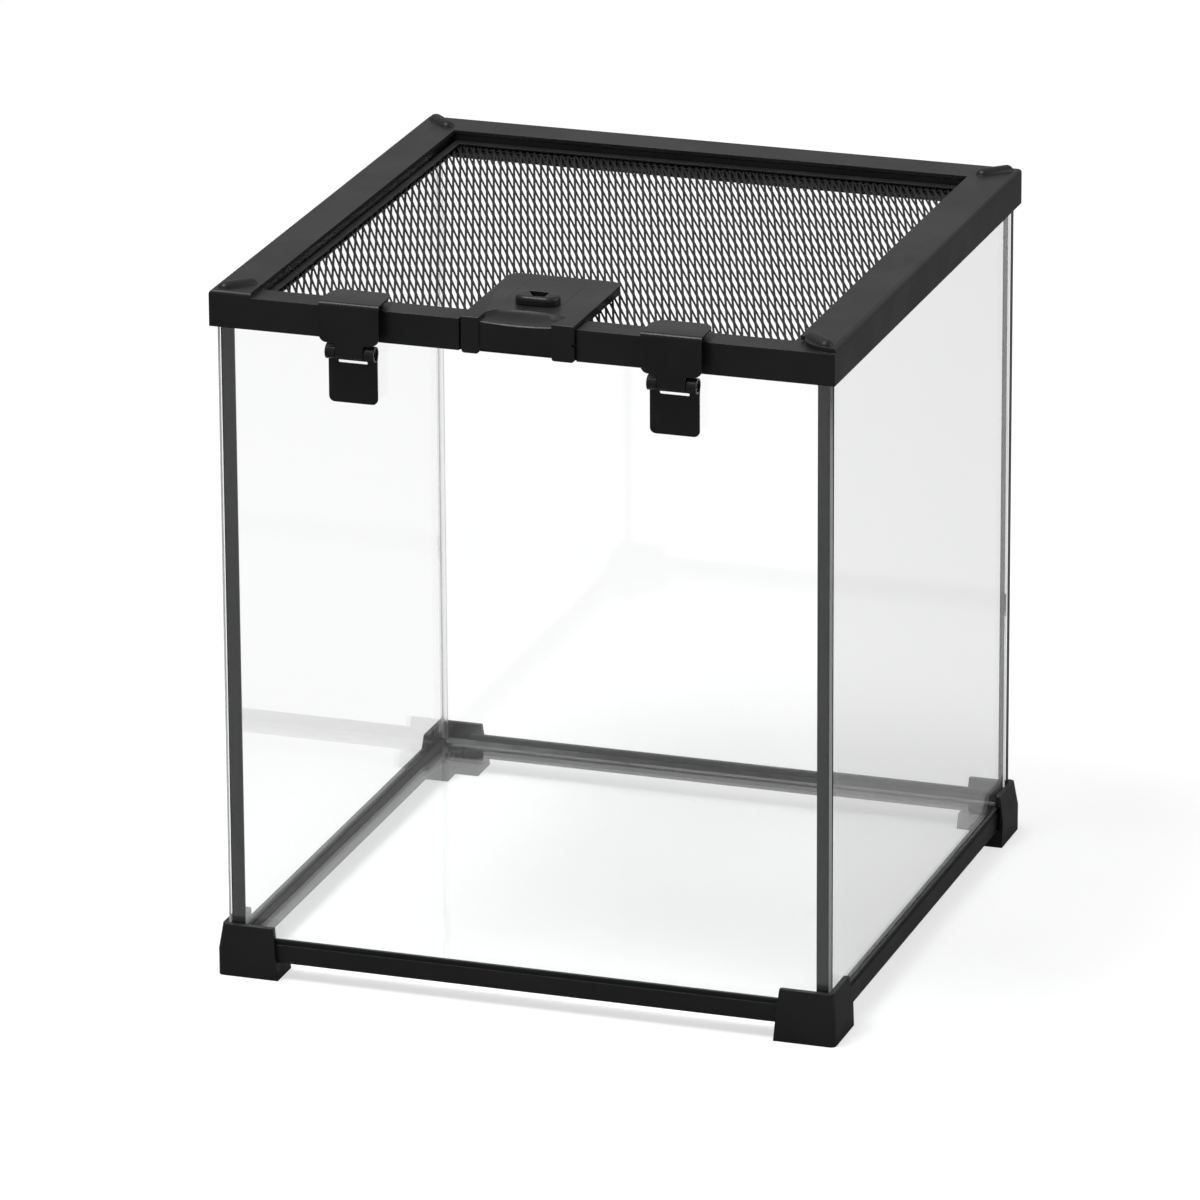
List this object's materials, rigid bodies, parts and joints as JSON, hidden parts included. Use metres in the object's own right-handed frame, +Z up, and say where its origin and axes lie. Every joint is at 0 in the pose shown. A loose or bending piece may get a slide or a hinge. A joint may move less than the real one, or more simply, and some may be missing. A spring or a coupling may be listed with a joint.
{
  "type": "glass terrarium",
  "caption": "Cube-shaped glass terrarium with corner feet, a moulded top frame, a tilting screen lid with a sliding lock, and sheet-metal lid clips.",
  "frame": {"origin": "middle of the top frame's footprint, on the surface that the feet stand on", "axes": "+X across the front to the right, +Y from the front (the side with the latch and clips) to the back, +Z up"},
  "size_m": [0.303, 0.3069, 0.3401],
  "materials": {
    "clear_glass": "polished clear float glass",
    "sealant": "dark grey silicone",
    "black_plastic": "satin black moulding",
    "black_painted_metal": "satin black powder coat"
  },
  "bodies": {
    "tank": {"front_glass": "clear_glass", "right_glass": "clear_glass", "back_glass": "clear_glass", "left_glass": "clear_glass", "floor_glass": "clear_glass", "seal_front_left": "sealant", "seal_front_right": "sealant", "seal_back_right": "sealant", "seal_back_left": "sealant", "floor_seal": "sealant", "base_strip_front": "black_plastic", "base_strip_right": "black_plastic", "base_strip_back": "black_plastic", "base_strip_left": "black_plastic", "foot_front_left": "black_plastic", "foot_front_right": "black_plastic", "foot_back_right": "black_plastic", "foot_back_left": "black_plastic", "top_frame": "black_plastic"},
    "lid": {"lid_edging": "black_painted_metal", "mesh_screen": "black_painted_metal", "latch_plate": "black_plastic", "clip_hook_left": "black_painted_metal", "clip_pin_left": "black_painted_metal", "clip_hook_right": "black_painted_metal", "clip_pin_right": "black_painted_metal"},
    "lock_slider": {"lock_knob": "black_plastic", "lock_bolt": "black_plastic"},
    "left_lever": {"clip_lever_left": "black_painted_metal"},
    "right_lever": {"clip_lever_right": "black_painted_metal"}
  },
  "joints": [
    {"name": "lid_tilt", "type": "hinge", "parent": "tank", "child": "lid", "pos_m": [0, 0.1272, 0.3298], "axis": [-1, 0, 0], "range_deg": [0, 85]},
    {"name": "lock_slide", "type": "slide", "parent": "lid", "child": "lock_slider", "axis": [0, 1, 0], "range_m": [0, 0.012]},
    {"name": "left_clip_lever", "type": "hinge", "parent": "lid", "child": "left_lever", "pos_m": [-0.0804, -0.1529, 0.3134], "axis": [-1, 0, 0], "range_deg": [-7, 110]},
    {"name": "right_clip_lever", "type": "hinge", "parent": "lid", "child": "right_lever", "pos_m": [0.0737, -0.1529, 0.3134], "axis": [-1, 0, 0], "range_deg": [-7, 110]}
  ]
}
